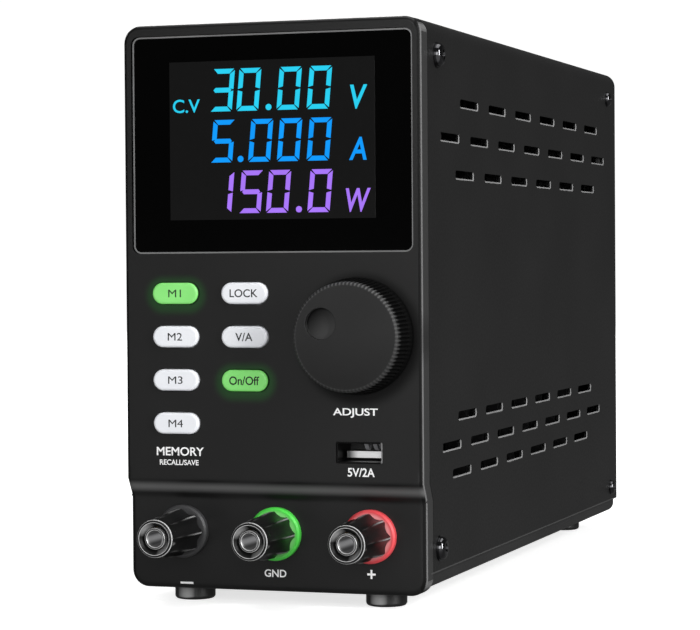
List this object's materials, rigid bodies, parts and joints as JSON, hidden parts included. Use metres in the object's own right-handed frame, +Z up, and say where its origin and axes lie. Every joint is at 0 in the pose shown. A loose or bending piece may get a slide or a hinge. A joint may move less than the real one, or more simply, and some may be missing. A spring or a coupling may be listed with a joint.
{
  "type": "laboratory power supply",
  "caption": "Tower bench power supply with a stepped front: display window, oval light keys, ribbed adjusting knob, USB socket and binding posts, in a vented steel case on feet.",
  "frame": {"origin": "on the bench under the middle of the outline: the middle of the feet plane", "axes": "+Z up, -Y out of the front panel, +X to the right seen from the front"},
  "size_m": [0.0908, 0.2594, 0.1605],
  "materials": {
    "panel_plastic": "fine texture",
    "window_gloss": "gloss",
    "display_glass": "gloss",
    "key_white": "satin",
    "key_lit": "lit from behind",
    "knob_plastic": "satin",
    "cap_plastic": "satin",
    "collar_black": "satin",
    "collar_green": "satin",
    "collar_red": "satin",
    "nickel": "bright nickel",
    "brass": "plain",
    "plain_steel": "zinc plated",
    "dark_steel": "black oxide",
    "cover_paint": "fine powder coat",
    "rubber": "matt",
    "board_green": "solder resist",
    "board_parts": "moulded",
    "ferrite": "matt",
    "winding": "enamelled copper",
    "heatsink": "plain",
    "can_sleeve": "printed-free sleeve",
    "inlet_plastic": "satin",
    "fuse_glass": "clear",
    "selector_red": "satin",
    "lead_sleeve": "insulation",
    "lead_brown": "insulation",
    "ribbon_grey": "insulation",
    "socket_grey": "satin"
  },
  "bodies": {
    "case": {"front_panel": "panel_plastic", "display_window": "window_gloss", "lcd_module": "display_glass", "encoder_body": "plain_steel", "usb_shell": "plain_steel", "usb_tongue": "socket_grey", "post_collar_negative": "collar_black", "post_collar_ground": "collar_green", "post_collar_positive": "collar_red", "post_studs": "nickel", "post_nuts": "plain_steel", "post_lugs": "brass", "top_cover": "cover_paint", "base_tray": "cover_paint", "front_frame": "cover_paint", "cover_screws": "dark_steel", "m3_screws": "plain_steel", "feet": "rubber", "control_board": "board_green", "tact_switches": "board_parts", "main_board": "board_green", "board_standoffs": "brass", "transformer_core": "ferrite", "transformer_coil": "winding", "heatsinks": "heatsink", "power_transistors": "board_parts", "input_capacitors": "can_sleeve", "output_capacitors": "board_parts", "output_choke": "winding", "line_filter": "winding", "fan_frame": "board_parts", "fan_guard": "nickel", "mains_inlet": "inlet_plastic", "inlet_pins": "nickel", "switch_housing": "inlet_plastic", "selector_housing": "selector_red", "output_leads": "lead_sleeve", "mains_leads": "lead_brown", "ribbon_cable": "ribbon_grey"},
    "key_m1": {"key_m1": "key_lit"},
    "key_m2": {"key_m2": "key_white"},
    "key_m3": {"key_m3": "key_white"},
    "key_m4": {"key_m4": "key_white"},
    "key_lock": {"key_lock": "key_white"},
    "key_va": {"key_va": "key_white"},
    "key_output": {"key_output": "key_lit"},
    "encoder_plunger": {"encoder_plunger": "key_white"},
    "knob": {"adjust_knob": "knob_plastic", "encoder_shaft": "plain_steel"},
    "insert_negative": {"post_insert_negative": "brass"},
    "cap_negative": {"post_cap_negative": "cap_plastic"},
    "insert_ground": {"post_insert_ground": "brass"},
    "cap_ground": {"post_cap_ground": "cap_plastic"},
    "insert_positive": {"post_insert_positive": "brass"},
    "cap_positive": {"post_cap_positive": "cap_plastic"},
    "rocker": {"power_rocker": "inlet_plastic"},
    "selector": {"selector_slider": "key_white"},
    "drawer": {"fuse_drawer": "inlet_plastic", "fuses": "fuse_glass"},
    "rotor": {"fan_rotor": "board_parts"}
  },
  "joints": [
    {"name": "key_m1_press", "type": "slide", "parent": "case", "child": "key_m1", "axis": [0, 1, 0], "range_m": [0, 0.0005], "stiffness_N_per_m": 2000},
    {"name": "key_m2_press", "type": "slide", "parent": "case", "child": "key_m2", "axis": [0, 1, 0], "range_m": [0, 0.0005], "stiffness_N_per_m": 2000},
    {"name": "key_m3_press", "type": "slide", "parent": "case", "child": "key_m3", "axis": [0, 1, 0], "range_m": [0, 0.0005], "stiffness_N_per_m": 2000},
    {"name": "key_m4_press", "type": "slide", "parent": "case", "child": "key_m4", "axis": [0, 1, 0], "range_m": [0, 0.0005], "stiffness_N_per_m": 2000},
    {"name": "key_lock_press", "type": "slide", "parent": "case", "child": "key_lock", "axis": [0, 1, 0], "range_m": [0, 0.0005], "stiffness_N_per_m": 2000},
    {"name": "key_va_press", "type": "slide", "parent": "case", "child": "key_va", "axis": [0, 1, 0], "range_m": [0, 0.0005], "stiffness_N_per_m": 2000},
    {"name": "key_output_press", "type": "slide", "parent": "case", "child": "key_output", "axis": [0, 1, 0], "range_m": [0, 0.0005], "stiffness_N_per_m": 2000},
    {"name": "knob_push", "type": "slide", "parent": "case", "child": "encoder_plunger", "axis": [0, 1, 0], "range_m": [0, 0.0005], "stiffness_N_per_m": 4000},
    {"name": "knob_turn", "type": "hinge", "parent": "encoder_plunger", "child": "knob", "pos_m": [0.025, -0.11645, 0.0745], "axis": [0, -1, 0], "continuous": true},
    {"name": "cap_negative_unscrew", "type": "slide", "parent": "case", "child": "insert_negative", "axis": [0, -1, 0], "range_m": [0, 0.004]},
    {"name": "cap_negative_turn", "type": "hinge", "parent": "insert_negative", "child": "cap_negative", "pos_m": [-0.0274, -0.11945, 0.02], "axis": [0, -1, 0], "range_deg": [0, 1440]},
    {"name": "cap_ground_unscrew", "type": "slide", "parent": "case", "child": "insert_ground", "axis": [0, -1, 0], "range_m": [0, 0.004]},
    {"name": "cap_ground_turn", "type": "hinge", "parent": "insert_ground", "child": "cap_ground", "pos_m": [0, -0.11945, 0.02], "axis": [0, -1, 0], "range_deg": [0, 1440]},
    {"name": "cap_positive_unscrew", "type": "slide", "parent": "case", "child": "insert_positive", "axis": [0, -1, 0], "range_m": [0, 0.004]},
    {"name": "cap_positive_turn", "type": "hinge", "parent": "insert_positive", "child": "cap_positive", "pos_m": [0.0274, -0.11945, 0.02], "axis": [0, -1, 0], "range_deg": [0, 1440]},
    {"name": "rocker_tilt", "type": "hinge", "parent": "case", "child": "rocker", "pos_m": [0.027, 0.12275, 0.042], "axis": [1, 0, 0], "range_deg": [0, 24]},
    {"name": "selector_slide", "type": "slide", "parent": "case", "child": "selector", "axis": [1, 0, 0], "range_m": [0, 0.006]},
    {"name": "drawer_slide", "type": "slide", "parent": "case", "child": "drawer", "axis": [0, 1, 0], "range_m": [0, 0.015]},
    {"name": "fan_spin", "type": "hinge", "parent": "case", "child": "rotor", "pos_m": [0, 0.11555, 0.1125], "axis": [0, 1, 0], "continuous": true}
  ],
  "couplings": [
    {"joint": "cap_negative_turn", "follows": "cap_negative_unscrew", "rad_per_m": 6283},
    {"joint": "cap_ground_turn", "follows": "cap_ground_unscrew", "rad_per_m": 6283},
    {"joint": "cap_positive_turn", "follows": "cap_positive_unscrew", "rad_per_m": 6283}
  ]
}
